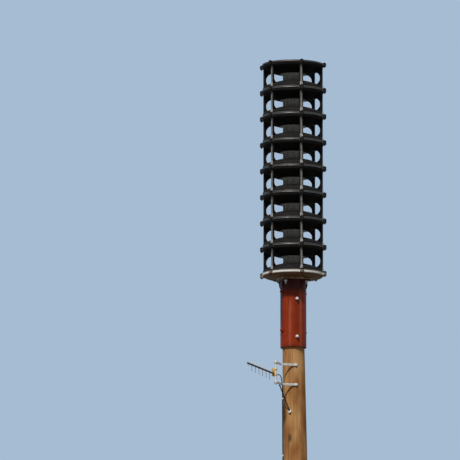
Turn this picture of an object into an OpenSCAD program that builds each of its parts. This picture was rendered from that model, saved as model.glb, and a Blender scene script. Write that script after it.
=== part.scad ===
// Civil defense siren tower: a stack of radial horn cells on a wood pole.
// The origin is the centre of the pole at the ground line, and +Z is up. Millimetres.

/* [Pole] */
// Height of the wood pole above the ground line
pole_h = 12940; // [9000:10:15000]
// Diameter of the pole at the ground line
pole_ground_d = 360; // [300:1:420]
// Diameter of the pole where its quick upper taper starts
pole_shoulder_d = 258; // [240:1:290]
// Diameter of the pole at its top end
pole_top_d = 218; // [190:1:230]
// Length of the quick upper taper
pole_taper_len = 1850; // [1200:10:2500]
// Sideways sweep of the pole at the middle of its open length
pole_sweep = 60; // [0:1:100]

/* [Sleeve] */
// Outer diameter of the steel pipe over the pole top
sleeve_d = 273; // [270:1:300]
// Wall of the pipe
sleeve_wall = 9; // [6:0.5:11]
// Length of the pipe below its top plate
sleeve_len = 702; // [670:1:1000]
// Thickness of the square top plate
sleeve_plate_t = 14; // [8:1:25]
// Side of the square top plate and of the casting's foot
square_side = 264; // [256:1:290]
// Height of a gusset under the top plate
gusset_h = 92; // [40:1:100]
// Thickness of a gusset
gusset_t = 10; // [6:1:14]
// Reach of a gusset beyond the pipe
gusset_reach = 14; // [8:1:16]

/* [Bolts] */
// Diameter of the through bolts and of the mounting bolts
bolt_d = 20; // [16:1:22]
// Height of a bolt head or nut
nut_h = 15; // [10:1:18]
// Distance from the stack axis to a mounting bolt, along X and along Y
mounting_bolt_offset = 113; // [108:1:116]
// Length of a mounting bolt's threaded end below the top plate
mounting_bolt_end = 39; // [24:1:60]
// Depth of the upper bolt along Y below the top of the pipe
front_bolt_upper = 197; // [165:1:250]
// Depth of the lower bolt along Y below the top of the pipe
front_bolt_lower = 596; // [570:1:620]
// Depth of the upper bolt along X below the top of the pipe
side_bolt_upper = 116; // [108:1:140]
// Depth of the lower bolt along X below the top of the pipe
side_bolt_lower = 526; // [300:1:545]
// Turn of the bolts along X, towards -Y on the -X side
side_bolt_turn = 20; // [0:1:24]
// Diameter of the flange bolt holes in the lugs
lug_hole_d = 14; // [10:1:16]

/* [Horn cells] */
// Number of horn cells in the stack
cell_count = 8; // [1:1:8]
// Height of one cell
cell_pitch = 278; // [250:1:320]
// Radius of the horn rim
rim_r = 325; // [315:1:360]
// Thickness of a horn flange
flange_t = 13; // [8:1:18]
// Radius at which the flare ends and the rounded lip begins
flare_r = 300; // [290:1:308]
// Radius of the throat, where the flare begins
throat_r = 112; // [105:1:125]
// Height of the gap between the two horns at the throat
throat_gap = 68; // [50:1:90]
// Height of the gap between the two horns at the end of the flare
mouth_gap = 186; // [160:1:200]
// Wall of a horn casting
horn_wall = 8; // [5:1:12]
// Width of the flange ring that is left solid inside the rim
flange_ring = 42; // [34:1:60]
// Reach of a bolting lug beyond the rim
lug_reach = 35; // [24:1:45]
// Width of a bolting lug
lug_w = 38; // [36:1:50]
// Thickness of a lug on the underside of a joint
lug_boss_t = 30; // [20:1:36]

/* [Ribs] */
// Number of ribs at each mouth, and of lugs on each flange
rib_count = 6; // [4:1:8]
// Outer radius of a rib
rib_outer_r = 321; // [312:1:323]
// Depth of a rib's outer bar
rib_bar_depth = 28; // [20:1:34]
// Width of a rib's outer bar
rib_bar_w = 33; // [24:1:40]
// Thickness of a rib's inner web
rib_web_t = 14; // [8:1:20]
// Radius of the arch in a rib's inner web
rib_arch_r = 68; // [60:1:76]
// Drop of the arch's centre below the middle of the mouth
rib_arch_drop = 12; // [0:1:16]
// Height of the outward toe at a rib's foot
rib_toe_h = 40; // [20:1:60]
// Reach of the toe beyond the rib's outer face
rib_toe_reach = 8; // [4:1:10]

/* [Driver throat] */
// Number of exit slots round the throat column
slot_count = 12; // [6:1:16]
// Width of the wall between two slots
slot_wall = 12; // [6:1:20]
// Depth of a slot
slot_depth = 22; // [10:1:40]
// Height of the closed ring at each end of the column
throat_ring_h = 11; // [6:1:16]
// Step from the throat radius in to the column's radius
throat_step = 2; // [1:1:10]

/* [Base casting] */
// Depth of the shallow bell below the lowest flange
base_bell_depth = 58; // [50:1:75]
// Thickness of the flange ring of the base casting
base_rim_t = 20; // [10:1:24]
// Thickness of the square foot
foot_t = 10; // [6:1:20]
// Radius of the bell where it meets the foot
base_bell_foot_r = 128; // [110:1:135]
// Thickness of the webs from the bell's rim to the corners of the foot
corner_web_t = 12; // [6:1:20]
// Reach of those webs beyond a corner of the foot, at their foot
corner_web_reach = 22; // [10:1:40]

/* [Top cover] */
// Thickness of the cover at its rim
cover_rim_t = 6; // [3:1:12]
// Rise of the cover from its rim to its hub
cover_rise = 14; // [6:1:24]
// Radius of the hub
hub_r = 60; // [40:1:90]
// Height of the hub above the sloping cover
hub_h = 4; // [2:1:10]
// Inner radius of the lifting eye
eye_inner_r = 10; // [8:1:14]
// Thickness of the lifting eye
eye_t = 9; // [6:1:12]

/* [Antenna bracket] */
// Depth of the upper arm's centre below the foot of the sleeve
upper_arm_drop = 193; // [150:1:260]
// Height between the centres of the two arms
arm_spacing = 209; // [160:1:300]
// Height of an arm's flat bar
arm_h = 22; // [16:1:34]
// Thickness of an arm's flat bar
arm_t = 6; // [4:1:10]
// Distance of an arm's pole bolt from the middle of the pole, towards the mast
arm_bolt_shift = 14; // [0:1:30]
// Length of an arm on the far side of its pole bolt
arm_tail = 20; // [16:1:40]
// Distance from the stack's axis to an arm's bend
arm_leg = 165; // [150:1:190]
// Place of the antenna mast beside the pole
mast_x = -266; // [-300:1:-240]
// Place of the antenna mast in front of the pole
mast_y = -268; // [-300:1:-240]
// Diameter of the antenna mast
mast_d = 25; // [20:1:34]
// Length of the mast above the upper arm and below the lower one
mast_end = 14; // [12:1:60]
// Diameter of the diagonal brace
brace_d = 12; // [8:1:16]
// Drop of the brace's foot below the lower arm
brace_drop = 281; // [200:1:400]

/* [Antenna] */
// Depth of the boom below the foot of the sleeve
boom_drop = 312; // [280:1:325]
// Angle of the boom from the -Y direction, towards -X
boom_angle = 34; // [20:1:50]
// Diameter of the boom
boom_d = 19; // [15:1:26]
// Length of the boom in front of the mast
boom_front = 848; // [838:1:1000]
// Length of the boom behind the mast
boom_back = 45; // [40:1:80]
// Diameter of the rods
rod_d = 6; // [4:1:8]
// Length of the rear rod
rod_rear_len = 164; // [150:1:180]
// Length of the front rod
rod_front_len = 130; // [110:1:150]
// Distance from the mast to the first rod
rod_start = 134; // [60:1:138]
// Distance between rods
rod_step = 116; // [80:1:117]
// Number of rods
rod_count = 7; // [3:1:7]
// Height of the clamp block
clamp_h = 80; // [60:1:100]
// Width of the clamp block along the boom
clamp_w = 40; // [30:1:50]
// Thickness of the clamp block
clamp_t = 28; // [26:1:40]
// Height of the clamp's middle above the boom
clamp_rise = 12; // [0:1:12]
// Diameter of the clamp's two U-bolts
u_bolt_d = 6; // [4:1:6]

/* [Cable] */
// Diameter of the antenna lead
cable_d = 10; // [8:1:13]
// Height between two cable clips
clip_step = 600; // [400:10:1000]
// Height of a clip
clip_h = 18; // [12:1:26]
// Wall of a clip
clip_wall = 2; // [1.5:0.5:4]
// Width of a clip with its two ears
clip_w = 46; // [36:1:60]
// Height of the guard over the foot of the cable
guard_h = 2400; // [1500:10:3000]
// Width of the guard with its two ears
guard_w = 92; // [76:1:110]
// Outer radius of the guard's round back
guard_r = 27; // [22:1:32]
// Wall of the guard
guard_wall = 3; // [2:0.5:5]

/* [Hidden] */
// Clearance between pieces that seat on each other but aren't joined flat
seat_gap = 0.3;
// Clearance round a bolt in its hole
bolt_gap = 0.5;
// Spare length of a cutting tool beyond the face that it cuts
over = 1;
// Thickness of the washer under a through bolt's head or nut
washer_t = 3;
// Turn of a gusset away from the diagonal of the square plate
gusset_turn = 22;
// Bell of the base casting: distance in from the lip, and share of the bell's depth there
bell_profile = [[9, 0.5], [30, 0.72], [70, 0.87], [120, 0.95]];
// Place of a U-bolt away from the clamp's middle, as a share of the clamp's height
u_bolt_share = 0.34;
// Radius of the connector at the boom's rear end
connector_r = 8;
// Length of that connector
connector_len = 25;

sleeve_r = sleeve_d / 2;
sleeve_z = pole_h - sleeve_len;
shoulder_z = pole_h - pole_taper_len;
plate_top_z = pole_h + sleeve_plate_t;
foot_depth = base_bell_depth + foot_t;
// Joint plane of the base casting and the lowest horn
base_z = plate_top_z + foot_depth;
rib_angle = 360 / rib_count;
lug_r = lug_w / 2;
lug_centre = rim_r + lug_reach - lug_r;
// Length of a lug's root inside the rim
lug_root = 30;
eye_centre_z = cover_rim_t + cover_rise + hub_h + eye_inner_r + eye_t / 2;

upper_arm_z = sleeve_z - upper_arm_drop;
lower_arm_z = upper_arm_z - arm_spacing;
boom_z = sleeve_z - boom_drop;
boom_offset = (mast_d + boom_d) / 2 + 1;
cable_r = cable_d / 2;

$fn = 64;

// Pole: radius and sideways place at a height
function pole_r(z) = z < shoulder_z
    ? (pole_ground_d + (pole_shoulder_d - pole_ground_d) * z / shoulder_z) / 2
    : (pole_shoulder_d + (pole_top_d - pole_shoulder_d) * (z - shoulder_z) / pole_taper_len) / 2;
function pole_x(z) = z < sleeve_z ? pole_sweep * sin(180 * z / sleeve_z) : 0;

// Height of the joint plane under cell k
function cell_z(k) = base_z + (k - 1) * cell_pitch;

// Horn: height of the casting above its flange plane at radius r, for an exponential flare
flare_rate = ln(mouth_gap / throat_gap) / (flare_r - throat_r);
function horn_h(r) = (cell_pitch - throat_gap * exp(flare_rate * (r - throat_r))) / 2;
flare_steps = 10;
lip_steps = 5;
lip_r = rim_r - 5;

// Outline of a horn's outer surface from the throat to the lip, moved out by e
function horn_outline(e) = concat(
    [[0, horn_h(throat_r) + e]],
    [for (i = [0:flare_steps])
        let (r = throat_r + (flare_r - throat_r) * i / flare_steps)
        [r + (i == flare_steps ? e : 0), horn_h(r) + e]],
    [for (i = [1:lip_steps])
        let (a = 90 * i / lip_steps)
        [flare_r + (lip_r - flare_r) * sin(a) + e,
         flange_t + (horn_h(flare_r) - flange_t) * cos(a) * (i == lip_steps ? 0 : 1)]]
);

// A closed surface from point loops of equal length, each counter-clockwise from above
module loft(loops) {
    n = len(loops[0]);
    last = len(loops) - 1;
    points = [for (loop = loops) each loop];
    sides = [for (i = [0:last - 1]) for (j = [0:n - 1])
        let (a = i * n + j, b = i * n + (j + 1) % n)
        each [[a, a + n, b + n], [a, b + n, b]]];
    polyhedron(
        points = points,
        faces = concat([[for (j = [0:n - 1]) j]], sides, [[for (j = [n - 1:-1:0]) last * n + j]]),
        convexity = 6
    );
}

pole_sides = 36;
pole_lower_rings = 12;
pole_upper_rings = 3;

module wood_pole() {
    heights = concat(
        [for (i = [0:pole_lower_rings - 1]) shoulder_z * i / pole_lower_rings],
        [for (i = [0:pole_upper_rings - 1])
            shoulder_z + (sleeve_z - shoulder_z) * i / pole_upper_rings],
        [sleeve_z, pole_h]
    );
    color("peru") difference() {
        loft([for (z = heights) [for (j = [0:pole_sides - 1])
            let (a = 360 * j / pole_sides)
            [pole_x(z) + pole_r(z) * cos(a), pole_r(z) * sin(a), z]]]);
        through_bolts_along_axes(bolt_d / 2 + bolt_gap, sleeve_d);
    }
}

// Rods along the four through bolts, used for the bolts and for their holes
module through_bolts_along_axes(r, length) {
    for (depth = [front_bolt_upper, front_bolt_lower])
        translate([0, 0, pole_h - depth]) rotate([90, 0, 0]) cylinder(r = r, h = length, center = true);
    for (depth = [side_bolt_upper, side_bolt_lower])
        translate([0, 0, pole_h - depth]) rotate([0, 90, side_bolt_turn])
            cylinder(r = r, h = length, center = true);
}

module at_mounting_bolts() {
    for (x = [-1, 1]) for (y = [-1, 1])
        translate([x * mounting_bolt_offset, y * mounting_bolt_offset, 0]) children();
}

module pole_sleeve() {
    color("firebrick") union() {
        difference() {
            translate([0, 0, sleeve_z]) cylinder(d = sleeve_d, h = sleeve_len);
            translate([0, 0, sleeve_z - over])
                cylinder(r = sleeve_r - sleeve_wall, h = sleeve_len + over);
            through_bolts_along_axes(bolt_d / 2 + bolt_gap, sleeve_d + 2 * over);
        }
        difference() {
            translate([0, 0, pole_h + sleeve_plate_t / 2])
                cube([square_side, square_side, sleeve_plate_t], center = true);
            at_mounting_bolts() translate([0, 0, pole_h - over])
                cylinder(r = bolt_d / 2 + bolt_gap, h = sleeve_plate_t + 2 * over);
        }
        for (corner = [45:90:315]) for (side = [-1, 1])
            rotate([0, 0, corner + side * gusset_turn]) gusset();
    }
}

module gusset() {
    inner_r = sleeve_r - sleeve_wall / 2;
    outer_r = sleeve_r + gusset_reach;
    translate([0, gusset_t / 2, pole_h]) rotate([90, 0, 0]) linear_extrude(gusset_t)
        polygon([[inner_r, 0], [outer_r, 0], [outer_r, -gusset_h / 2], [inner_r, -gusset_h]]);
}

// Flat ring of a flange, with its lugs as thick as lug_t
module flange(ring_t, lug_t) {
    difference() {
        union() {
            cylinder(r = rim_r, h = ring_t, $fn = 128);
            for (i = [0:rib_count - 1]) rotate([0, 0, i * rib_angle - 90]) linear_extrude(lug_t) {
                translate([lug_centre, 0]) circle(r = lug_r);
                translate([rim_r - lug_root, -lug_r]) square([lug_centre - rim_r + lug_root, lug_w]);
            }
        }
        for (i = [0:rib_count - 1]) rotate([0, 0, i * rib_angle - 90])
            translate([lug_centre, 0, -over]) cylinder(d = lug_hole_d, h = ring_t + lug_t + 2 * over);
    }
}

// One horn casting: flange with lugs, and flared shell
module horn_casting(lug_t) {
    pocket_r = rim_r - flange_ring;
    difference() {
        union() {
            flange(flange_t, lug_t);
            rotate_extrude($fn = 128)
                polygon(concat(horn_outline(0), [[lip_r, flange_t - over], [0, flange_t - over]]));
        }
        rotate_extrude($fn = 128) polygon(concat(
            [[0, -over], [pocket_r, -over], [pocket_r, horn_h(pocket_r) - horn_wall]],
            [for (i = [flare_steps - 1:-1:0])
                let (r = throat_r + (pocket_r - throat_r) * i / flare_steps)
                [r, horn_h(r) - horn_wall]],
            [[0, horn_h(throat_r) - horn_wall]]
        ));
    }
}

module lower_horn(k) {
    color("dimgray") translate([0, 0, cell_z(k)]) horn_casting(flange_t);
}

module upper_horn(k) {
    color("dimgray") translate([0, 0, cell_z(k + 1)]) mirror([0, 0, 1]) horn_casting(lug_boss_t);
}

// Middle height of the horn gap of cell k
function gap_z(k) = cell_z(k + 1) - cell_pitch / 2;

module driver_throat(k) {
    column_r = throat_r - throat_step;
    slot_h = throat_gap - 2 * throat_ring_h;
    color("gray") translate([0, 0, gap_z(k) - throat_gap / 2]) difference() {
        cylinder(r = column_r, h = throat_gap);
        for (i = [0:slot_count - 1]) rotate([0, 0, (i + 0.5) * 360 / slot_count])
            translate([0, 0, throat_ring_h]) linear_extrude(slot_h) slot_outline(column_r);
    }
}

// Wedge between two walls of the throat column, open outwards
module slot_outline(column_r) {
    inner_r = column_r - slot_depth;
    half = 180 / slot_count;
    inner_y = inner_r * tan(half) - slot_wall / 2;
    outer_r = column_r + 2 * over;
    outer_y = outer_r * tan(half) - slot_wall / 2;
    polygon([[inner_r, -inner_y], [outer_r, -outer_y], [outer_r, outer_y], [inner_r, inner_y]]);
}

module mouth_ribs(k) {
    floor_z = cell_z(k) + flange_t;
    ceiling_z = cell_z(k + 1) - lug_boss_t - seat_gap;
    color("dimgray") difference() {
        for (i = [0:rib_count - 1]) rotate([0, 0, i * rib_angle - 90])
            rib(floor_z, ceiling_z, gap_z(k) - rib_arch_drop);
        translate([0, 0, cell_z(k)]) horn_cutter();
        translate([0, 0, cell_z(k + 1)]) mirror([0, 0, 1]) horn_cutter();
    }
}

// Space that a horn takes up, with its seating clearance
module horn_cutter() {
    rotate_extrude($fn = 128)
        polygon(concat([[0, -over]], horn_outline(seat_gap), [[lip_r + seat_gap, -over]]));
}

// One rib along +X: outer bar, toe at its foot, and inner web with an arch
module rib(floor_z, ceiling_z, arch_z) {
    bar_inner_r = rib_outer_r - rib_bar_depth;
    height = ceiling_z - floor_z;
    arch_centre = bar_inner_r - rib_arch_r;
    translate([bar_inner_r, -rib_bar_w / 2, floor_z]) cube([rib_bar_depth, rib_bar_w, height]);
    translate([0, rib_bar_w / 2, floor_z]) rotate([90, 0, 0]) linear_extrude(rib_bar_w) polygon([
        [rib_outer_r - over, 0], [rib_outer_r + rib_toe_reach, 0],
        [rib_outer_r, rib_toe_h], [rib_outer_r - over, rib_toe_h]
    ]);
    difference() {
        translate([arch_centre, -rib_web_t / 2, floor_z]) cube([rib_arch_r + over, rib_web_t, height]);
        translate([arch_centre, 0, arch_z]) rotate([90, 0, 0])
            cylinder(r = rib_arch_r, h = rib_web_t + 2 * over, center = true);
    }
}

module base_bell() {
    color("beige") translate([0, 0, base_z]) difference() {
        union() {
            mirror([0, 0, 1]) flange(base_rim_t, lug_boss_t);
            mirror([0, 0, 1]) rotate_extrude($fn = 128) polygon(concat(
                [[0, base_rim_t - over], [lip_r, base_rim_t - over], [lip_r, base_rim_t]],
                [for (point = bell_profile) [lip_r - point[0], base_bell_depth * point[1]]],
                [[base_bell_foot_r, base_bell_depth], [0, base_bell_depth]]
            ));
            translate([0, 0, -foot_depth + foot_t / 2])
                cube([square_side, square_side, foot_t], center = true);
            for (corner = [45:90:315]) rotate([0, 0, corner]) corner_web();
        }
        at_mounting_bolts() translate([0, 0, -foot_depth - over])
            cylinder(r = bolt_d / 2 + bolt_gap, h = foot_t + 2 * over);
        at_mounting_bolts() translate([0, 0, -base_bell_depth])
            cylinder(r = bolt_d, h = nut_h + seat_gap);
    }
}

// Web under the bell along +X, from its rim to a corner of the foot
module corner_web() {
    inner_r = base_bell_foot_r - over;
    outer_r = lip_r - over;
    knee_r = square_side / sqrt(2) + corner_web_reach;
    top_z = -base_rim_t + over;
    low_z = -foot_depth + over;
    translate([0, corner_web_t / 2, 0]) rotate([90, 0, 0]) linear_extrude(corner_web_t) polygon([
        [inner_r, top_z], [inner_r, low_z], [knee_r, low_z], [outer_r, top_z - over], [outer_r, top_z]
    ]);
}

module hex(across, h) {
    cylinder(d = across / cos(30), h = h, $fn = 6);
}

module mounting_bolts() {
    length = mounting_bolt_end + sleeve_plate_t + foot_t + over;
    color("silver") at_mounting_bolts() {
        translate([0, 0, base_z - base_bell_depth]) hex(1.5 * bolt_d, nut_h - over);
        translate([0, 0, pole_h - mounting_bolt_end]) cylinder(d = bolt_d, h = length);
        translate([0, 0, pole_h - nut_h]) hex(1.5 * bolt_d, nut_h);
    }
}

module sleeve_bolts() {
    across_nuts = 2 * (sleeve_r + washer_t + nut_h);
    color("silver") {
        through_bolts_along_axes(bolt_d / 2, across_nuts + 2 * nut_h);
        for (side = [0, 180]) {
            for (depth = [front_bolt_upper, front_bolt_lower])
                translate([0, 0, pole_h - depth]) rotate([90, 0, side])
                    translate([0, 0, sleeve_r]) bolt_end();
            for (depth = [side_bolt_upper, side_bolt_lower])
                translate([0, 0, pole_h - depth]) rotate([90, 0, side + 90 + side_bolt_turn])
                    translate([0, 0, sleeve_r]) bolt_end();
        }
    }
}

module bolt_end() {
    cylinder(d = 2 * bolt_d, h = washer_t);
    translate([0, 0, washer_t]) hex(1.5 * bolt_d, nut_h);
}

module top_cover() {
    hub_z = cover_rim_t + cover_rise;
    color("dimgray") translate([0, 0, cell_z(cell_count + 1)]) {
        flange(cover_rim_t, cover_rim_t);
        rotate_extrude($fn = 128) polygon([
            [0, over], [rim_r - over, over], [rim_r - over, cover_rim_t],
            [hub_r, hub_z], [hub_r, hub_z + hub_h], [0, hub_z + hub_h]
        ]);
        translate([0, eye_t / 2, eye_centre_z]) rotate([90, 0, 0]) lifting_eye();
    }
}

module lifting_eye() {
    eye_r = eye_inner_r + eye_t;
    leg_h = eye_inner_r + eye_t / 2 + over;
    difference() {
        union() {
            cylinder(r = eye_r, h = eye_t);
            translate([-eye_r, -leg_h, 0]) cube([2 * eye_r, leg_h, eye_t]);
        }
        translate([0, 0, -over]) cylinder(r = eye_inner_r, h = eye_t + 2 * over);
    }
}

// Front face of the pole at a height: the -Y side
function front_y(z) = -pole_r(z) - seat_gap;

// Bent flat bar with a bolt hole on the pole and an eye round the mast
module arm(z) {
    y_in = front_y(z - arm_h / 2);
    y_out = y_in - arm_t;
    to_mast = [mast_x + arm_leg, mast_y - y_out];
    leg_angle = atan2(to_mast[1], to_mast[0]);
    // Half of the turn at the bend, which sets the mitre on the bar's inner side
    mitre = arm_t * tan((180 - abs(leg_angle)) / 2);
    side = arm_t * [-sin(leg_angle), cos(leg_angle)];
    bolt_x = pole_x(z) - arm_bolt_shift;
    tail_x = bolt_x + arm_tail;
    translate([0, 0, z - arm_h / 2]) difference() {
        linear_extrude(arm_h) difference() {
            union() {
                polygon([
                    [tail_x, y_in], [-arm_leg - mitre, y_in],
                    [mast_x, mast_y] - side, [mast_x, mast_y], [-arm_leg, y_out], [tail_x, y_out]
                ]);
                translate([mast_x, mast_y]) circle(r = mast_d / 2 + arm_t);
            }
            translate([mast_x, mast_y]) circle(r = mast_d / 2 + seat_gap);
        }
        translate([bolt_x, y_in + over, arm_h / 2]) rotate([90, 0, 0])
            cylinder(d = lug_hole_d, h = arm_t + 2 * over);
    }
}

// Brace: turn of its foot from the -Y direction, size of the foot, and ball at its top
brace_foot_angle = 37;
brace_foot_z = lower_arm_z - brace_drop;
brace_foot_t = 5;
brace_foot_r = 17;
brace_ball_r = 0.75 * brace_d;
// Place of the ball along the lower arm's slanting leg, as a share of that leg
brace_share = 0.3;
arm_bend = [-arm_leg, front_y(lower_arm_z) - arm_t / 2];
brace_top = concat(
    arm_bend + brace_share * ([mast_x, mast_y] - arm_bend),
    [lower_arm_z - arm_h / 2 - brace_ball_r - seat_gap]
);

module brace() {
    foot_r = pole_r(brace_foot_z - brace_foot_r) + seat_gap;
    outward = [-sin(brace_foot_angle), -cos(brace_foot_angle), 0];
    foot = [pole_x(brace_foot_z), 0, brace_foot_z] + foot_r * outward;
    start = foot + (brace_foot_t + brace_d / 4) * outward;
    run = brace_top - start;
    translate(start) rotate([0, acos(run[2] / norm(run)), atan2(run[1], run[0])])
        cylinder(d = brace_d, h = norm(run));
    translate(brace_top) sphere(r = brace_ball_r);
    translate(foot) rotate([90, 0, -brace_foot_angle])
        cylinder(r = brace_foot_r, h = brace_foot_t + brace_d / 2);
}

module bracket_arms() {
    color("gainsboro") {
        arm(upper_arm_z);
        arm(lower_arm_z);
        brace();
    }
}

module antenna_mast() {
    low = lower_arm_z - arm_h / 2 - mast_end;
    high = upper_arm_z + arm_h / 2 + mast_end;
    color("white") translate([mast_x, mast_y, low]) cylinder(d = mast_d, h = high - low);
}

// Frame with its X axis along the boom and its origin on the mast axis
module at_boom() {
    translate([mast_x, mast_y, boom_z]) rotate([0, 0, -90 - boom_angle]) children();
}

module boom_clamp() {
    inner = -mast_d / 4;
    ring_r = (mast_d + u_bolt_d) / 2 + seat_gap;
    outer = inner - clamp_t;
    color("goldenrod") at_boom() translate([0, 0, clamp_rise]) {
        difference() {
            translate([-clamp_w / 2, outer, -clamp_h / 2]) cube([clamp_w, clamp_t, clamp_h]);
            cylinder(r = mast_d / 2 + seat_gap, h = clamp_h + 2 * over, center = true);
            translate([0, -boom_offset, -clamp_rise]) rotate([0, 90, 0])
                cylinder(r = boom_d / 2 + seat_gap, h = clamp_w + 2 * over, center = true);
        }
        for (side = [-1, 1]) translate([0, 0, side * clamp_h * u_bolt_share]) {
            rotate_extrude(angle = 180) translate([ring_r, 0]) circle(d = u_bolt_d, $fn = 24);
            for (x = [-1, 1]) translate([x * ring_r, outer - 2 * u_bolt_d, 0]) rotate([-90, 0, 0])
                cylinder(d = u_bolt_d, h = 2 * u_bolt_d - outer, $fn = 24);
        }
    }
}

function rod_len(i) = rod_rear_len + (rod_front_len - rod_rear_len) * i / (rod_count - 1);

module yagi_antenna() {
    color("saddlebrown") at_boom() translate([0, -boom_offset, 0]) {
        translate([-boom_back, 0, 0]) rotate([0, 90, 0])
            cylinder(d = boom_d, h = boom_back + boom_front);
        translate([-boom_back - connector_len, 0, 0]) rotate([0, 90, 0])
            cylinder(r = connector_r, h = connector_len + over);
        for (i = [0:rod_count - 1]) translate([rod_start + i * rod_step, 0, 0])
            cylinder(d = rod_d, h = rod_len(i), center = true, $fn = 24);
    }
}

// Side of the pole that the cable runs down: the -X side
function side_x(z) = pole_x(z) - pole_r(z) - seat_gap;
function cable_x(z) = side_x(z) - cable_r;

// Way of the lead from the antenna's connector to the pole, chosen by hand, then down its side
connector_end = [mast_x, mast_y, boom_z]
    + boom_offset * [-cos(boom_angle), sin(boom_angle), 0]
    + (boom_back + connector_len) * [sin(boom_angle), cos(boom_angle), 0];
cable_lead = [[-228, -173, 0], [-212, -152, 4], [-200, -133, 7], [-188, -112, 9], [-176, -92, 10],
    [-165, -72, 9], [-155, -53, 6], [-145, -35, -1], [-137, -20, -13], [-131, -9, -29], [-127, -3, -49]];
// Height where the lead meets the pole
cable_top_z = boom_z - 80;
cable_run_steps = 40;
cable_sides = 8;
// A level direction that the cable never runs along
cable_across = [cos(28), -sin(28), 0];

function cable_route() = concat(
    [connector_end],
    [for (p = cable_lead) [p[0], p[1], boom_z + p[2]]],
    [for (i = [0:cable_run_steps])
        let (z = cable_top_z * (1 - i / cable_run_steps))
        [cable_x(z), 0, z]]
);

function unit(v) = v / norm(v);
function tangent(path, i) = unit(path[min(i + 1, len(path) - 1)] - path[max(i - 1, 0)]);

module coax_cable() {
    path = cable_route();
    last = len(path) - 1;
    color("black") loft([for (i = [last:-1:0])
        let (
            t = i == last ? [0, 0, -1] : tangent(path, i),
            u = unit(cable_across - (cable_across * t) * t),
            v = cross(u, t)
        )
        [for (j = [0:cable_sides - 1])
            let (a = 360 * j / cable_sides)
            path[i] + cable_r * (cos(a) * u - sin(a) * v)]]);
}

module cable_clip(z) {
    outer_r = cable_r + seat_gap + clip_wall;
    translate([cable_x(z), 0, z - clip_h / 2]) difference() {
        union() {
            cylinder(r = outer_r, h = clip_h, $fn = 32);
            translate([cable_r - clip_wall, -clip_w / 2, 0]) cube([clip_wall, clip_w, clip_h]);
        }
        translate([0, 0, -over]) cylinder(r = cable_r + seat_gap, h = clip_h + 2 * over, $fn = 32);
        translate([cable_r - seat_gap, -outer_r, -over]) cube([outer_r, 2 * outer_r, clip_h + 2 * over]);
    }
}

module cable_clips() {
    color("silver") for (z = [guard_h + clip_step / 2:clip_step:cable_top_z]) cable_clip(z);
}

// Straight guard against the swept pole, leaning with it
guard_lean = atan2(side_x(guard_h) - side_x(0), guard_h);

// Guard outline with the pole on its +X side: round back, and ears that follow the pole
module guard_outline() {
    seat_r = pole_r(0) + seat_gap;
    difference() {
        union() {
            circle(r = guard_r);
            intersection() {
                translate([seat_r, 0]) circle(r = seat_r + guard_wall, $fn = 128);
                translate([-guard_r, -guard_w / 2]) square([2 * guard_r, guard_w]);
            }
        }
        circle(r = guard_r - guard_wall);
        translate([seat_r, 0]) circle(r = seat_r, $fn = 128);
    }
}

module cable_guard() {
    color("slategray") difference() {
        translate([side_x(0), 0, 0]) rotate([0, guard_lean, 0])
            translate([0, 0, -guard_r]) linear_extrude(guard_h + guard_r) guard_outline();
        translate([side_x(0) - guard_w, -guard_w, -2 * guard_w]) cube(2 * guard_w);
    }
}

wood_pole();
pole_sleeve();
base_bell();
for (k = [1:cell_count]) {
    lower_horn(k);
    driver_throat(k);
    mouth_ribs(k);
    upper_horn(k);
}
top_cover();
mounting_bolts();
sleeve_bolts();
bracket_arms();
antenna_mast();
boom_clamp();
yagi_antenna();
coax_cable();
cable_clips();
cable_guard();
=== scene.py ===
import math
import random

import bmesh
import bpy
from mathutils import Matrix, Vector


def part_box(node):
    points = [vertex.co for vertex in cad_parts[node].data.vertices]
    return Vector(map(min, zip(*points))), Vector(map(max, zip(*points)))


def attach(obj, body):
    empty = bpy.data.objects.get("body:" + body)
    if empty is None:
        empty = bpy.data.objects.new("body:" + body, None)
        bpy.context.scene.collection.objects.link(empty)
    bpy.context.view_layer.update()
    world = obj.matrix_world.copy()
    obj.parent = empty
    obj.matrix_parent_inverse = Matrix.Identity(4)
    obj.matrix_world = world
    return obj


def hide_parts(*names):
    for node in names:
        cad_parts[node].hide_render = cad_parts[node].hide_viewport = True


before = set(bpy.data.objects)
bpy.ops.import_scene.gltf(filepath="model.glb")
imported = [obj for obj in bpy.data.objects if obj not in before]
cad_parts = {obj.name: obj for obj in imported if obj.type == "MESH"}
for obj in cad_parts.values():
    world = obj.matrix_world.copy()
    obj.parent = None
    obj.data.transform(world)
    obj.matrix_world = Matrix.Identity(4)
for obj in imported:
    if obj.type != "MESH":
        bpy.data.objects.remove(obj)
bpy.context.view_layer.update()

# Sizes are millimetres times MM, because the scene is in metres
MM = 0.001
UP = Vector((0, 0, 1))
CELLS = range(1, 9)
RIBS = 6
# Directions of the square plates' corners, in degrees
CORNERS = (45, 135, 225, 315)

# Heights and radii that the frame gives
LEVELS = [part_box(f"lower_horn_{k}")[0].z for k in CELLS] + [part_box("top_cover")[0].z]
PITCH = LEVELS[1] - LEVELS[0]
RIM_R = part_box("lower_horn_1")[1].x
LUG_TIP_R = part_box("lower_horn_1")[1].y
FOOT_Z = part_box("base_bell")[0].z
PLATE_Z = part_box("pole_sleeve")[1].z
POLE_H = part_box("wood_pole")[1].z
SLEEVE_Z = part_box("pole_sleeve")[0].z
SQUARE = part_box("pole_sleeve")[1].x * 2

# Horn castings, as the solids have them
FLANGE_T = 13 * MM
FLARE_R = 300 * MM
LIP_R = 320 * MM
THROAT_R = 112 * MM
THROAT_GAP = 68 * MM
MOUTH_GAP = 186 * MM
HORN_WALL = 8 * MM
POCKET_R = RIM_R - 42 * MM
LUG_W = 38 * MM
BOSS_T = 30 * MM
BASE_RIM_T = 20 * MM
BELL_DEPTH = 58 * MM
FOOT_T = LEVELS[0] - BELL_DEPTH - FOOT_Z
COVER_RIM_T = 6 * MM
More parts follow.
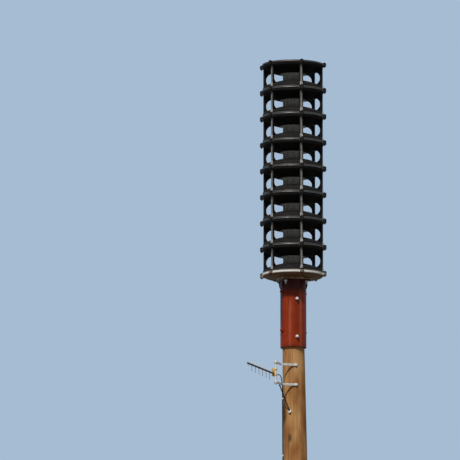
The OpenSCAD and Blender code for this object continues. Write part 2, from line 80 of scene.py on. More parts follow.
# How far inside the solids' faces the lugs lie
LUG_SINK = 0.4 * MM
RIB_OUTER_R = 321 * MM
SLEEVE_R = 136.5 * MM

random.seed(8)


def linear(hex_colour):
    """An sRGB hex colour as the linear RGBA that sockets take."""
    channels = [int(hex_colour[i:i + 2], 16) / 255 for i in (1, 3, 5)]
    return [c / 12.92 if c <= 0.04045 else ((c + 0.055) / 1.055) ** 2.4 for c in channels] + [1]


def link(tree, source, socket):
    """Link an output to a socket. A node stands for the first of its outputs that is in use."""
    if isinstance(source, bpy.types.Node):
        source = next(output for output in source.outputs if output.enabled)
    tree.links.new(source, socket)


def add(tree, kind, inputs=None, **settings):
    """Add a shader node with its settings, and fill its inputs with values, hex colours or links."""
    made = tree.nodes.new("ShaderNode" + kind)
    for name, value in settings.items():
        setattr(made, name, value)
    for name, value in (inputs or {}).items():
        if isinstance(value, (bpy.types.Node, bpy.types.NodeSocket)):
            link(tree, value, made.inputs[name])
        else:
            made.inputs[name].default_value = linear(value) if isinstance(value, str) else value
    return made


def new_material(name, values):
    """A material, its nodes, its shader and its object coordinates, from values that hold all over."""
    made = bpy.data.materials.new(name)
    made.use_nodes = True
    tree = made.node_tree
    shader = tree.nodes["Principled BSDF"]
    for socket, value in values.items():
        shader.inputs[socket].default_value = value
    return made, tree, shader, add(tree, "TexCoord").outputs["Object"]


# Sockets of a colour Mix node, whose names are shared by its hidden sockets
MIX_A = 6
MIX_B = 7


def speckle(tree, at, size, detail, low, high):
    """Noise of a real size, turned to a share from 0 at the low value to 1 at the high one."""
    noise = add(tree, "TexNoise", {"Vector": at, "Scale": 1 / size, "Detail": detail})
    return add(tree, "MapRange", {"Value": noise, "From Min": low, "From Max": high})


def surface(tree, shader, colour, at, size, depth):
    """Give the shader its colour, and fine bumps of a real size and depth."""
    link(tree, colour, shader.inputs["Base Color"])
    bump = add(tree, "Bump", {"Height": speckle(tree, at, size, 3, 0.2, 0.8), "Distance": depth})
    link(tree, bump, shader.inputs["Normal"])


def axis_distance(tree, at):
    """Distance from the stack's axis."""
    level = add(tree, "Mapping", {"Vector": at, "Scale": (1, 1, 0)})
    return add(tree, "VectorMath", {0: level}, operation="LENGTH")


def stack_height(tree, at):
    """Height above the lowest joint of the stack."""
    z = add(tree, "SeparateXYZ", {"Vector": at}).outputs["Z"]
    return add(tree, "Math", {0: z, 1: LEVELS[0]}, operation="SUBTRACT")


def cell_share(tree, at):
    """Height above the joint below, from 0 to 1 over one horn cell."""
    above = stack_height(tree, at)
    cells = add(tree, "Math", {0: above, 1: PITCH}, operation="DIVIDE")
    return add(tree, "Math", {0: cells}, operation="FRACT")


def joint_gap(tree, at):
    """Height away from the nearest joint between two castings."""
    above = stack_height(tree, at)
    return add(tree, "Math", {0: above, 1: PITCH / 2}, operation="PINGPONG")


def enamel_paint(tree, at):
    """Near-black enamel with faint brown dust in blotches, and lighter where a face looks up: dust there,
    and partly painted light on the tops.
    """
    mottle = speckle(tree, at, 90 * MM, 5, 0.35, 0.7)
    normal = add(tree, "NewGeometry").outputs["Normal"]
    facing = add(tree, "SeparateXYZ", {"Vector": normal}).outputs["Z"]
    # Faces that look up get more of the pale colour: dust, and partly painted light on the tops
    upward_dust_and_light = add(tree, "MapRange", {"Value": facing, "From Min": 0.3, "From Max": 1.0, "To Max": 0.15})
    dust_and_top_light = add(tree, "Math", {0: upward_dust_and_light, 1: mottle}, operation="MULTIPLY")
    clean = add(tree, "Mix", {"Factor": mottle, MIX_A: "#1c1c1e", MIX_B: "#28221d"}, data_type="RGBA")
    return add(tree, "Mix", {"Factor": dust_and_top_light, MIX_A: clean, MIX_B: "#443d34"}, data_type="RGBA")


def horn_enamel():
    """Black enamel on sand-cast aluminium: deep and dull, and worn to grey metal on the rims."""
    made, tree, shader, at = new_material("black_enamel_on_casting", {})
    rim_reach = 3.2 * MM
    r = axis_distance(tree, at)
    rim = add(tree, "Math", {0: r, 1: RIM_R, 2: rim_reach}, operation="COMPARE")
    near = add(tree, "MapRange", {
        "Value": joint_gap(tree, at), "From Min": 12 * MM, "From Max": 6 * MM, "To Min": 0.2,
    })
    ring = add(tree, "Math", {0: near, 1: rim}, operation="MULTIPLY")
    lugs = add(tree, "MapRange", {
        "Value": r, "From Min": RIM_R + 8 * MM, "From Max": RIM_R + 12 * MM, "To Max": 0.04,
    })
    chafed = add(tree, "Math", {0: ring, 1: lugs}, operation="MAXIMUM")
    patches = speckle(tree, at, 55 * MM, 4, 0.1, 0.45)
    worn = add(tree, "Math", {0: chafed, 1: patches}, operation="MULTIPLY")
    colour = add(tree, "Mix", {"Factor": worn, MIX_A: enamel_paint(tree, at), MIX_B: "#706c66"},
                 data_type="RGBA")
    for socket, painted, bare in (("Metallic", 0, 0.75), ("Roughness", 0.7, 0.4),
                                  ("Specular IOR Level", 0.08, 0.6)):
        level = add(tree, "MapRange", {"Value": worn, "To Min": painted, "To Max": bare})
        link(tree, level, shader.inputs[socket])
    surface(tree, shader, colour, at, 6 * MM, 0.4 * MM)
    return made


def rib_enamel():
    """The same enamel on the ribs: their outer faces are chalked, and palest towards the foot."""
    values = {"Roughness": 0.5, "Specular IOR Level": 0.08}
    made, tree, shader, at = new_material("chalked_black_enamel", values)
    face = add(tree, "MapRange", {
        "Value": axis_distance(tree, at),
        "From Min": RIB_OUTER_R - 0.3 * MM, "From Max": RIB_OUTER_R - 0.05 * MM,
    })
    patches = speckle(tree, at, 40 * MM, 4, 0.1, 0.5)
    worn = add(tree, "Math", {0: face, 1: patches}, operation="MULTIPLY")
    chalk = add(tree, "Mix", {"Factor": cell_share(tree, at), MIX_A: "#a8a5a0", MIX_B: "#5c5955"},
                data_type="RGBA")
    colour = add(tree, "Mix", {"Factor": worn, MIX_A: enamel_paint(tree, at), MIX_B: chalk},
                 data_type="RGBA")
    surface(tree, shader, colour, at, 6 * MM, 0.4 * MM)
    return made


def throat_primer():
    """Pale grey primer on the driver throats: matt and cloudy, and darker towards their feet."""
    made, tree, shader, at = new_material("dusty_grey_primer", {"Roughness": 0.8})
    dust = speckle(tree, at, 40 * MM, 5, 0.3, 0.7)
    paint = add(tree, "Mix", {"Factor": dust, MIX_A: "#dddcd9", MIX_B: "#c8c5c0"}, data_type="RGBA")
    low = add(tree, "MapRange", {"Value": cell_share(tree, at), "From Min": 0.62, "From Max": 0.4})
    colour = add(tree, "Mix", {"Factor": low, MIX_A: paint, MIX_B: "#8a8783"}, data_type="RGBA")
    surface(tree, shader, colour, at, 5 * MM, 0.4 * MM)
    return made


def cream_enamel():
    """Cream enamel on the base casting: satin and clean at its rim, and dark on its lugs.

    Its foot is tan, and the underside of its bell is stained brown.
    """
    made, tree, shader, at = new_material("stained_cream_enamel", {"Roughness": 0.5})
    mottle = speckle(tree, at, 50 * MM, 5, 0.3, 0.7)
    cream = add(tree, "Mix", {"Factor": mottle, MIX_A: "#f7f2ec", MIX_B: "#e6dccd"}, data_type="RGBA")
    lugs = add(tree, "MapRange", {
        "Value": axis_distance(tree, at),
        "From Min": RIM_R + 1 * MM, "From Max": RIM_R + 8 * MM, "To Max": 0.9,
    })
    cream = add(tree, "Mix", {"Factor": lugs, MIX_A: cream, MIX_B: "#4a443e"}, data_type="RGBA")
    stain = add(tree, "Mix", {"Factor": mottle, MIX_A: "#5d3f22", MIX_B: "#86592c"}, data_type="RGBA")
    low = FOOT_Z + FOOT_T
    high = LEVELS[0] - BASE_RIM_T - 2 * MM
    reach = add(tree, "MapRange", {
        "Value": speckle(tree, at, 25 * MM, 4, 0.2, 0.8),
        "To Min": (high - low) / 2 - 3 * MM, "To Max": (high - low) / 2,
    })
    z = add(tree, "SeparateXYZ", {"Vector": at}).outputs["Z"]
    stained = add(tree, "Math", {0: z, 1: (high + low) / 2, 2: reach}, operation="COMPARE")
    foot = add(tree, "Math", {0: z, 1: low + 1 * MM}, operation="LESS_THAN")
    paint = add(tree, "Mix", {"Factor": foot, MIX_A: cream, MIX_B: "#a68e70"}, data_type="RGBA")
    colour = add(tree, "Mix", {"Factor": stained, MIX_A: paint, MIX_B: stain}, data_type="RGBA")
    surface(tree, shader, colour, at, 6 * MM, 0.5 * MM)
    return made


def red_oxide():
    """Red oxide paint on rolled pipe: deep red and satin, with chalky and dark runs, a painted highlight
    on one chalky run, and painted shade on its top under the plate.
    """
    values = {"Roughness": 0.4, "Specular IOR Level": 0.15}
    made, tree, shader, at = new_material("red_oxide_paint", values)
    mottle = speckle(tree, at, 80 * MM, 6, 0.3, 0.7)
    paint = add(tree, "Mix", {"Factor": mottle, MIX_A: "#922d10", MIX_B: "#9f3915"}, data_type="RGBA")
    drawn_out = add(tree, "Mapping", {"Vector": at, "Scale": (1, 1, 0.05)})
    runs = speckle(tree, drawn_out, 20 * MM, 3, 0.5, 0.72)
    dark_runs = add(tree, "Math", {0: runs, 1: 0.55}, operation="MULTIPLY")
    z = add(tree, "SeparateXYZ", {"Vector": at}).outputs["Z"]
    foot = add(tree, "MapRange", {"Value": z, "From Min": SLEEVE_Z + 50 * MM, "From Max": SLEEVE_Z})
    rust = add(tree, "Math", {0: foot, 1: mottle}, operation="MULTIPLY")
    dirt = add(tree, "Math", {0: dark_runs, 1: rust}, operation="MAXIMUM")
    dirty = add(tree, "Mix", {"Factor": dirt, MIX_A: paint, MIX_B: "#4a160a"}, data_type="RGBA")
    # Painted shade on the pipe's top under the plate, where its shadow falls, together with the dark runs
    shade_and_dark_runs = add(tree, "Attribute", attribute_name="shade_and_dark_runs").outputs["Fac"]
    with_shade_and_dark_runs = add(tree, "Mix", {"Factor": shade_and_dark_runs, MIX_A: dirty, MIX_B: "#1e1210"}, data_type="RGBA")
    # Pale chalky runs, the first of which is also a painted highlight
    chalk_and_highlight = add(tree, "Attribute", attribute_name="chalk").outputs["Fac"]
    colour = add(tree, "Mix", {"Factor": chalk_and_highlight, MIX_A: with_shade_and_dark_runs, MIX_B: "#b06c52"}, data_type="RGBA")
    surface(tree, shader, colour, at, 4 * MM, 0.2 * MM)
    return made


def weathered_pine():
    """Treated southern pine: orange brown in bleached and dark blotches, knots, and thin checks with
    painted shade in them.
    """
    values = {"Roughness": 0.85, "Specular IOR Level": 0.25}
    made, tree, shader, at = new_material("weathered_pine", values)
    along = add(tree, "Mapping", {"Vector": at, "Scale": (1, 1, 0.35)})
    blotches = speckle(tree, along, 110 * MM, 4, 0.34, 0.66)
    warm = add(tree, "Mix", {"Factor": blotches, MIX_A: "#d6a368", MIX_B: "#a06836"}, data_type="RGBA")
    fibres = add(tree, "Mapping", {"Vector": at, "Scale": (1, 1, 0.02)})
    grain = speckle(tree, fibres, 9 * MM, 5, 0.4, 0.8)
    thin_grain = add(tree, "Math", {0: grain, 1: 0.55}, operation="MULTIPLY")
    wood = add(tree, "Mix", {"Factor": thin_grain, MIX_A: warm, MIX_B: "#6b4a2c"}, data_type="RGBA")
    spread = add(tree, "Mapping", {"Vector": at, "Scale": (1, 1, 0.5)})
    knots = add(tree, "TexVoronoi", {"Vector": spread, "Scale": 1 / (260 * MM)})
    knot = add(tree, "MapRange", {"Value": knots, "From Min": 0.12, "From Max": 0.05, "To Max": 0.75})
    # Shade painted into the checks, darker the deeper they are, and the dark knots
    painted_crack_shade = add(tree, "Attribute", attribute_name="painted_check_shade").outputs["Fac"]
    dark = add(tree, "Math", {0: painted_crack_shade, 1: knot}, operation="MAXIMUM")
    colour = add(tree, "Mix", {"Factor": dark, MIX_A: wood, MIX_B: "#3d2a1a"}, data_type="RGBA")
    link(tree, colour, shader.inputs["Base Color"])
    bump = add(tree, "Bump", {"Height": grain, "Distance": 1.2 * MM})
    link(tree, bump, shader.inputs["Normal"])
    return made


def zinc():
    """Hot dip galvanised steel: a dull near-white spangle."""
    made, tree, shader, at = new_material("hot_dip_zinc", {"Metallic": 0.2, "Roughness": 0.5})
    # The real spangle is about 8 mm across, and it is drawn 14 mm across so that it shows
    spangle = add(tree, "TexVoronoi", {"Vector": at, "Scale": 1 / (14 * MM)})
    colour = add(tree, "Mix", {"Factor": spangle, MIX_A: "#f0efec", MIX_B: "#d4d3d0"}, data_type="RGBA")
    surface(tree, shader, colour, at, 5 * MM, 0.2 * MM)
    return made


def clouded(name, pale, dark, size, values):
    """One plain finish with clouds between two close colours, and fine bumps."""
    made, tree, shader, at = new_material(name, values)
    clouds = speckle(tree, at, size, 5, 0.3, 0.7)
    colour = add(tree, "Mix", {"Factor": clouds, MIX_A: pale, MIX_B: dark}, data_type="RGBA")
    surface(tree, shader, colour, at, size / 10, 0.1 * MM)
    return made


HORN_BLACK = horn_enamel()
RIB_BLACK = rib_enamel()
PRIMER = throat_primer()
CREAM = cream_enamel()
RED_OXIDE = red_oxide()
PINE = weathered_pine()
ZINC = zinc()
# Bright zinc plate on the front bolts and lag screws: satin with faint clouds, and painted nearly white as
# a painted highlight for the glint on their heads
BRIGHT_ZINC_AND_GLINT = clouded("bright_zinc_with_painted_glint", "#fbfbfa", "#ececea", 10 * MM,
                      {"Metallic": 0.2, "Roughness": 0.3})
# Drawn aluminium on the mast, rods and connector: pale and satin, clouded by the weather
ALUMINIUM = clouded("drawn_aluminium", "#f1f0ec", "#d9d8d4", 30 * MM, {"Metallic": 0.05, "Roughness": 0.5})
# Yellow chromate over plated zinc on the clamp: a dull gold sheen, brownish in patches
CHROMATE = clouded("yellow_chromate_on_zinc", "#e6b445", "#b98430", 30 * MM,
                   {"Metallic": 0.4, "Roughness": 0.45})
# Anodised aluminium on the boom: a brown satin tube
BRONZE = clouded("bronze_anodised_aluminium", "#6f4d35", "#513726", 30 * MM,
                 {"Metallic": 0.4, "Roughness": 0.45})
# Weathered steel on the flange bolts and the brace: nearly black, and dull with old paint
DARK_STEEL = clouded("painted_over_steel", "#2c2c2d", "#1d1d1e", 30 * MM,
                     {"Metallic": 0.3, "Roughness": 0.55})
# Extruded polyethylene on the lead: black, and a little grey where the sun has bleached it
JACKET = clouded("black_polyethylene_jacket", "#161617", "#242322", 60 * MM, {"Roughness": 0.55})
# Moulded polyethylene on the guard: mid grey, faded unevenly
GUARD_GREY = clouded("grey_polyethylene", "#7d8082", "#6a6e70", 60 * MM, {"Roughness": 0.6})


def turned(profile, steps):
    """A bmesh turned about the Z axis from (radius, height) points, closed and outward."""
    bm = bmesh.new()
    points = [bm.verts.new((r, 0, z)) for r, z in profile]
    lines = [bm.edges.new(pair) for pair in zip(points, points[1:])]
    if profile[0][0] > 0 and profile[-1][0] > 0:
        lines.append(bm.edges.new((points[-1], points[0])))
    bmesh.ops.spin(bm, geom=points + lines, cent=(0, 0, 0), axis=UP, angle=math.tau,
                   steps=steps, use_merge=True, use_duplicate=False)
    bmesh.ops.remove_doubles(bm, verts=bm.verts, dist=0.001 * MM)
    bmesh.ops.recalc_face_normals(bm, faces=bm.faces)
    return bm


def thicken(bm, faces, depth):
    """Draw flat faces out along +Z into a solid."""
    grown = bmesh.ops.extrude_face_region(bm, geom=faces)["geom"]
    moved = [v for v in grown if isinstance(v, bmesh.types.BMVert)]
    bmesh.ops.translate(bm, verts=moved, vec=(0, 0, depth))
    bmesh.ops.recalc_face_normals(bm, faces=bm.faces)
    return bm


def slab(outline, depth):
    """A flat plate from an outline in the XY plane, as thick as its depth."""
    bm = bmesh.new()
    face = bm.faces.new([bm.verts.new((x, y, 0)) for x, y in outline])
    return thicken(bm, [face], depth)


def block(size, middle):
    """A square-edged block."""
    bm = bmesh.new()
    bmesh.ops.create_cube(bm, size=1, matrix=Matrix.Translation(middle) @ Matrix.Diagonal((*size, 1)))
    return bm


def round_edges(bm, width, segments=2, turn=35):
    """Round every edge that turns by more than the given degrees."""
    sharp = [e for e in bm.edges if e.is_manifold and e.calc_face_angle() > math.radians(turn)]
    bmesh.ops.bevel(bm, geom=sharp, offset=width, offset_type="OFFSET", segments=segments,
                    affect="EDGES", profile=0.5, material=-1, clamp_overlap=True)
    return bm


def stamp(target, shape, spots=(Matrix.Identity(4),)):
    """Copy a shape into the target at each spot, and free it."""
    mesh = bpy.data.meshes.new("copy")
    for spot in spots:
        copy = shape.copy()
        copy.transform(spot)
        if spot.determinant() < 0:
            bmesh.ops.reverse_faces(copy, faces=copy.faces)
        copy.to_mesh(mesh)
        target.from_mesh(mesh)
        copy.free()
    bpy.data.meshes.remove(mesh)
    shape.free()
    return target


FLIP = Matrix.Diagonal((1, 1, -1, 1))
# Stands a slab drawn in the XY plane upright, with its Y up
UPRIGHT = Matrix.Rotation(math.pi / 2, 4, "X")


def shift(x, y, z):
    """A move by these lengths."""
    return Matrix.Translation((x, y, z))


def lift(z):
    """A move straight up."""
    return shift(0, 0, z)


def turn_z(degrees):
    """A turn about the Z axis."""
    return Matrix.Rotation(math.radians(degrees), 4, "Z")


RIB_TURNS = [turn_z(i * 360 / RIBS - 90) for i in range(RIBS)]


def place(name, data):
    """A new object at the origin, linked to the scene."""
    made = bpy.data.objects.new(name, data)
    bpy.context.scene.collection.objects.link(made)
    return made


def make_piece(name, bm, material, slot, *stands_for, turn=32):
    """Link a bmesh as a finished piece: shaded, with its material, on the tower's one body."""
    for face in bm.faces:
        face.smooth = True
    for edge in bm.edges:
        edge.smooth = not (edge.is_manifold and edge.calc_face_angle() > math.radians(turn))
    mesh = bpy.data.meshes.new(name)
    bm.to_mesh(mesh)
    bm.free()
    mesh.materials.append(material)
    piece = place(name, mesh)
    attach(piece, "root")
    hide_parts(*stands_for)


def smooth_line(points, steps):
    """A curve through the points, with the same number of steps between each two."""
    ends = [2 * points[0] - points[1], *points, 2 * points[-1] - points[-2]]
    line = []
    for a, b, c, d in zip(ends, ends[1:], ends[2:], ends[3:]):
        for i in range(steps):
            t = i / steps
            line.append(0.5 * (2 * b + (c - a) * t + (2 * a - 5 * b + 4 * c - d) * t ** 2
                               + (3 * b - a - 3 * c + d) * t ** 3))
    return [*line, points[-1]]


# The pole, as the solid has it: a quick taper near the top, and a slow sideways sweep
GROUND_R = 180 * MM
SHOULDER_R = 129 * MM
POLE_TOP_R = 109 * MM
TAPER_LEN = 1850 * MM
POLE_SWEEP = 60 * MM
SEAT_GAP = 0.3 * MM
# Drying checks: their number, the ranges of their heights and half lengths in metres, and of their
# half widths and depths in millimetres
CHECKS = 60
CHECK_MIDDLE = (0.3, POLE_H - 0.6)
CHECK_REACH = (0.1, 0.45)
CHECK_HALF_W = (1.2, 2.6)
CHECK_DEPTH = (2, 5)
# Their turn round the pole in radians a metre, the darkest shade painted in them, and the depth at which
# it is reached
CHECK_TURN = 0.05
CHECK_PAINTED_SHADE = 0.8
PAINTED_SHADE_DEPTH = 6 * MM
# Waves in the surface: height in millimetres, number round the pole, and turn in radians a metre
WAVES = ((1.2, 3, 1.7), (0.8, 5, -2.3))
# How much of the waves is used, and how far the surface lies inside the solid
WAVE_SHARE = 0.7
SKIN_INSET = 1.5 * MM


def pole_r(z):
    """The pole's radius at a height."""
    shoulder = POLE_H - TAPER_LEN
    if z < shoulder:
        return GROUND_R + (SHOULDER_R - GROUND_R) * z / shoulder
    return SHOULDER_R + (POLE_TOP_R - SHOULDER_R) * (z - shoulder) / TAPER_LEN


def pole_x(z):
    """How far the pole's middle lies towards +X at a height."""
    return POLE_SWEEP * math.sin(math.pi * z / SLEEVE_Z) if z < SLEEVE_Z else 0


def timber_pole():
    """The pole with drying checks cut into it, with shade painted inside them, darker the deeper they are.
    """
    rings = 420
    sides = 180
    profile = [(0, 0)] + [(1, POLE_H * i / rings) for i in range(rings + 1)] + [(0, POLE_H)]
    bm = turned(profile, sides)
    painted_shade_layer = bm.verts.layers.float.new("painted_check_shade")
    checks = [
        (random.uniform(0, math.tau), random.uniform(*CHECK_MIDDLE), random.uniform(*CHECK_REACH),
         random.uniform(*CHECK_HALF_W) * MM, random.uniform(*CHECK_DEPTH) * MM)
        for _ in range(CHECKS)
    ]
    for v in bm.verts:
        z = v.co.z
        if v.co.xy.length < 0.5:
            v.co.x = pole_x(z)
            continue
        angle = math.atan2(v.co.y, v.co.x)
        r = pole_r(z)
        depth = 0
        for turn, middle, reach, width, deep in checks:
            along = abs(z - middle) / reach
            if along < 1:
                away = math.remainder(angle - turn - CHECK_TURN * (z - middle), math.tau)
                across = away * r / width
                depth = max(depth, deep * (1 - along ** 2) * math.exp(-across ** 2))
        # Shade painted into the check, darker the deeper it is
        v[painted_shade_layer] = min(CHECK_PAINTED_SHADE, depth / PAINTED_SHADE_DEPTH)
        wave = sum(rise * MM * math.sin(count * angle + twist * z) for rise, count, twist in WAVES)
        inset = SKIN_INSET + depth - wave * WAVE_SHARE
        v.co = ((r - inset) * math.cos(angle) + pole_x(z), (r - inset) * math.sin(angle), z)
    make_piece("timber_pole", bm, PINE, "treated_pine", "wood_pole", turn=60)


SLEEVE_WALL = 9 * MM
PLATE_T = PLATE_Z - POLE_H
GUSSET_H = 92 * MM
GUSSET_T = 10 * MM
GUSSET_REACH = 14 * MM
GUSSET_TURN = 22
WELD = 5 * MM
# Chalky runs down the pipe: direction and half width in degrees, strength, and where they start,
# as a share of the pipe's length from its top. The first, at -121 degrees, is also a painted highlight
CHALK_RUNS_AND_HIGHLIGHT = [(-121, 9, 0.6, 0.25), (-71, 10, 0.65, 0.1), (-20, 11, 0.4, 0.3), (60, 10, 0.5, 0.2),
              (150, 9, 0.45, 0.3)]
# Dark runs: direction, half width, strength, and where they end
DARK_RUNS = [(-180, 26, 0.95, 0.75), (-93, 20, 0.3, 0.95), (20, 16, 0.3, 0.7), (105, 18, 0.35, 0.8)]
# Shade painted under the plate, where its shadow falls: its strength, how far down it is full, and over
# what share it then fades
PLATE_SHADE = 0.75
PLATE_SHADE_DEPTH = 0.12
PLATE_SHADE_FADE = 0.1


def clamped(value):
    """A value held between 0 and 1."""
    return min(1, max(0, value))


def square_plate(thickness, bottom):
    """Flame-cut square plate with rounded corners."""
    bm = block((SQUARE, SQUARE, thickness), (0, 0, bottom + thickness / 2))
    upright = [e for e in bm.edges if abs((e.verts[0].co - e.verts[1].co).z) > thickness / 2]
    bmesh.ops.bevel(bm, geom=upright, offset=6 * MM, segments=4, affect="EDGES", profile=0.5, material=-1)
    return round_edges(bm, 1.5 * MM)


def weld_bead():
    """Fillet weld between the pipe and its plate, with the ripples of each pass."""
    inner = SLEEVE_R - WELD
    low = POLE_H - WELD
    bm = turned([(inner, POLE_H), (SLEEVE_R + WELD, POLE_H), (SLEEVE_R, low), (inner, low)], 240)
    ripples = 60
    for v in bm.verts:
        swell = 1 + 0.003 * math.sin(ripples * math.atan2(v.co.y, v.co.x))
        v.co.x *= swell
        v.co.y *= swell
    return round_edges(bm, 1 * MM)


def steel_sleeve():
    """Pipe, square plate, weld and gussets, with chalky and dark runs down the pipe."""
    inner = SLEEVE_R - SLEEVE_WALL
    rows = 24
    corner = 1.5 * MM
    height = POLE_H - SLEEVE_Z - corner
    outside = [(SLEEVE_R, SLEEVE_Z + corner + height * i / rows) for i in range(rows + 1)]
    bm = turned([(inner, SLEEVE_Z), (SLEEVE_R - corner, SLEEVE_Z), *outside, (inner, POLE_H)], 180)
    stamp(bm, square_plate(PLATE_T, POLE_H))
    stamp(bm, weld_bead())
    root = SLEEVE_R - 2 * MM
    reach = SLEEVE_R + GUSSET_REACH
    top = 0.5 * MM
    gusset = slab([(root, top), (reach, top), (reach, -GUSSET_H / 2), (root, -GUSSET_H)], GUSSET_T)
    round_edges(gusset, 1.2 * MM)
    stand = shift(0, GUSSET_T / 2, POLE_H) @ UPRIGHT
    spots = [turn_z(turn + side * GUSSET_TURN) @ stand for turn in CORNERS for side in (-1, 1)]
    stamp(bm, gusset, spots)
    chalk = bm.verts.layers.float.new("chalk")
    shade_and_dark_runs = bm.verts.layers.float.new("shade_and_dark_runs")
    for v in bm.verts:
        turn = math.degrees(math.atan2(v.co.y, v.co.x))
        down = (POLE_H - v.co.z) / (POLE_H - SLEEVE_Z)
        # Chalky runs; the first, at -121 degrees, is also a painted highlight where the sun's glint falls
        for middle, half_width, strength, start in CHALK_RUNS_AND_HIGHLIGHT:
            across = math.remainder(turn - middle, 360) / half_width
            fade = clamped((down - start) * 6) * (1 - 0.5 * down)
            v[chalk] = max(v[chalk], strength * fade * math.exp(-across ** 2 * 3))
        # Painted shade on the pipe's top, under the plate where its shadow falls
        v[shade_and_dark_runs] = PLATE_SHADE * clamped(1 - (down - PLATE_SHADE_DEPTH) / PLATE_SHADE_FADE)
        for middle, half_width, strength, end in DARK_RUNS:
            across = math.remainder(turn - middle, 360) / half_width
            fade = clamped((end - down) * 4)
            v[shade_and_dark_runs] = max(v[shade_and_dark_runs], strength * fade * math.exp(-across ** 2 * 2))
    make_piece("steel_sleeve", bm, RED_OXIDE, "red_oxide_steel", "pole_sleeve")


def lug(thickness):
    """Bolting lug of a flange along +X, with fillets where it leaves the rim."""
    half = LUG_W / 2
    centre = LUG_TIP_R - half
    tip = [(centre + half * math.cos(a), half * math.sin(a))
           for a in [math.radians(-90 + 15 * i) for i in range(13)]]
    root = RIM_R - 4 * MM
    neck = RIM_R + 6 * MM
    fillet = 7 * MM
    inner = RIM_R - 30 * MM
    outline = [(inner, -half), (root, -half - fillet), (RIM_R + 1 * MM, -half - fillet * 0.4),
               (neck, -half), *tip, (neck, half), (RIM_R + 1 * MM, half + fillet * 0.4),
               (root, half + fillet), (inner, half)]
    return round_edges(slab(outline, thickness), 1.5 * MM)


def with_lugs(bm, thickness, bottom):
    """Add the six lugs to a flange, a hair thinner than the solids have them."""
    spots = [turn @ lift(bottom + LUG_SINK) for turn in RIB_TURNS]
    return stamp(bm, lug(thickness - 2 * LUG_SINK), spots)


def horn_height(r):
    """Height of a horn casting above its flange plane, for an exponential flare."""
    rate = math.log(MOUTH_GAP / THROAT_GAP) / (FLARE_R - THROAT_R)
    return (PITCH - THROAT_GAP * math.exp(rate * (r - THROAT_R))) / 2


# Rounding of a flange's edges, which catch the light above and below each joint
ROUND = 5.5 * MM


def horn(lug_t):
    """One horn casting with its flange down."""
    steps = 26
    lip_steps = 9
    top = horn_height(THROAT_R)
    flare = [THROAT_R + (FLARE_R - THROAT_R) * i / steps for i in range(steps + 1)]
    profile = [(0, top), (THROAT_R - 2 * MM, top)]
    profile += [(r, horn_height(r)) for r in flare]
    for i in range(1, lip_steps + 1):
        a = math.pi / 2 * i / lip_steps
        profile.append((FLARE_R + (LIP_R - FLARE_R) * math.sin(a),
                        FLANGE_T + (horn_height(FLARE_R) - FLANGE_T) * math.cos(a)))
    turns = [math.radians(22.5 * i) for i in range(5)]
    round_r = RIM_R - ROUND
    profile += [(LIP_R + 0.6 * MM, FLANGE_T)]
    profile += [(round_r + ROUND * math.sin(a), FLANGE_T - ROUND + ROUND * math.cos(a)) for a in turns]
    profile += [(round_r + ROUND * math.cos(a), ROUND - ROUND * math.sin(a)) for a in turns]
    profile += [(POCKET_R, 0)]
    inner = [THROAT_R + (POCKET_R - THROAT_R) * i / 12 for i in range(12, -1, -1)]
    profile += [(r, horn_height(r) - HORN_WALL) for r in inner]
    profile += [(0, top - HORN_WALL)]
    return with_lugs(turned(profile, 144), lug_t, 0)


def horns():
    """The two horn castings of each cell, the upper one upside down."""
    for k in CELLS:
        low = stamp(bmesh.new(), horn(FLANGE_T), [lift(LEVELS[k - 1])])
        make_piece(f"horn_below_mouth_{k}", low, HORN_BLACK, "black_casting", f"lower_horn_{k}")
        high = stamp(bmesh.new(), horn(BOSS_T), [lift(LEVELS[k]) @ FLIP])
        make_piece(f"horn_above_mouth_{k}", high, HORN_BLACK, "black_casting", f"upper_horn_{k}")


SLOTS = 12
SLOT_WALL = 12 * MM
SLOT_DEPTH = 22 * MM
RING_H = 11 * MM
COLUMN_R = THROAT_R - 2 * MM
FILLET_REACH = 28 * MM
FILLET_RISE = 10 * MM


def throat_fillet(side, level):
    """Hollow curve from a horn into the column: above the lower horn, or mirrored under the upper."""
    steps = 8
    curve = []
    for i in range(steps + 1):
        a = math.pi / 2 * i / steps
        r = COLUMN_R + FILLET_REACH * (1 - math.sin(a))
        rise = horn_height(r) + FILLET_RISE * (1 - math.cos(a))
        curve.append((r, level + side * rise))
    return curve


def throats():
    """Driver throats: a closed, flared ring at each end of a column, and walls between its slots."""
    core_r = COLUMN_R - SLOT_DEPTH
    for k in CELLS:
        bottom = LEVELS[k - 1] + horn_height(THROAT_R)
        top = bottom + THROAT_GAP
        bm = turned([
            (0, bottom - FILLET_RISE), *throat_fillet(1, LEVELS[k - 1]),
            (COLUMN_R, bottom + RING_H), (core_r, bottom + RING_H + 2 * MM),
            (core_r, top - RING_H - 2 * MM), (COLUMN_R, top - RING_H),
            *reversed(throat_fillet(-1, LEVELS[k])), (0, top + FILLET_RISE),
        ], 96)
        depth = SLOT_DEPTH + 4 * MM
        wall = block((depth, SLOT_WALL, THROAT_GAP - 2 * RING_H + 6 * MM),
                     (COLUMN_R - 0.5 * MM - depth / 2, 0, (bottom + top) / 2))
        round_edges(wall, 2.5 * MM, 3)
        stamp(bm, wall, [turn_z(i * 360 / SLOTS) for i in range(SLOTS)])
        make_piece(f"slotted_throat_{k}", bm, PRIMER, "grey_throat", f"driver_throat_{k}")


BAR_DEPTH = 28 * MM
BAR_W = 33 * MM
WEB_T = 14 * MM
ARCH_R = 68 * MM
ARCH_DROP = 12 * MM
TOE_H = 40 * MM
TOE_REACH = 8 * MM


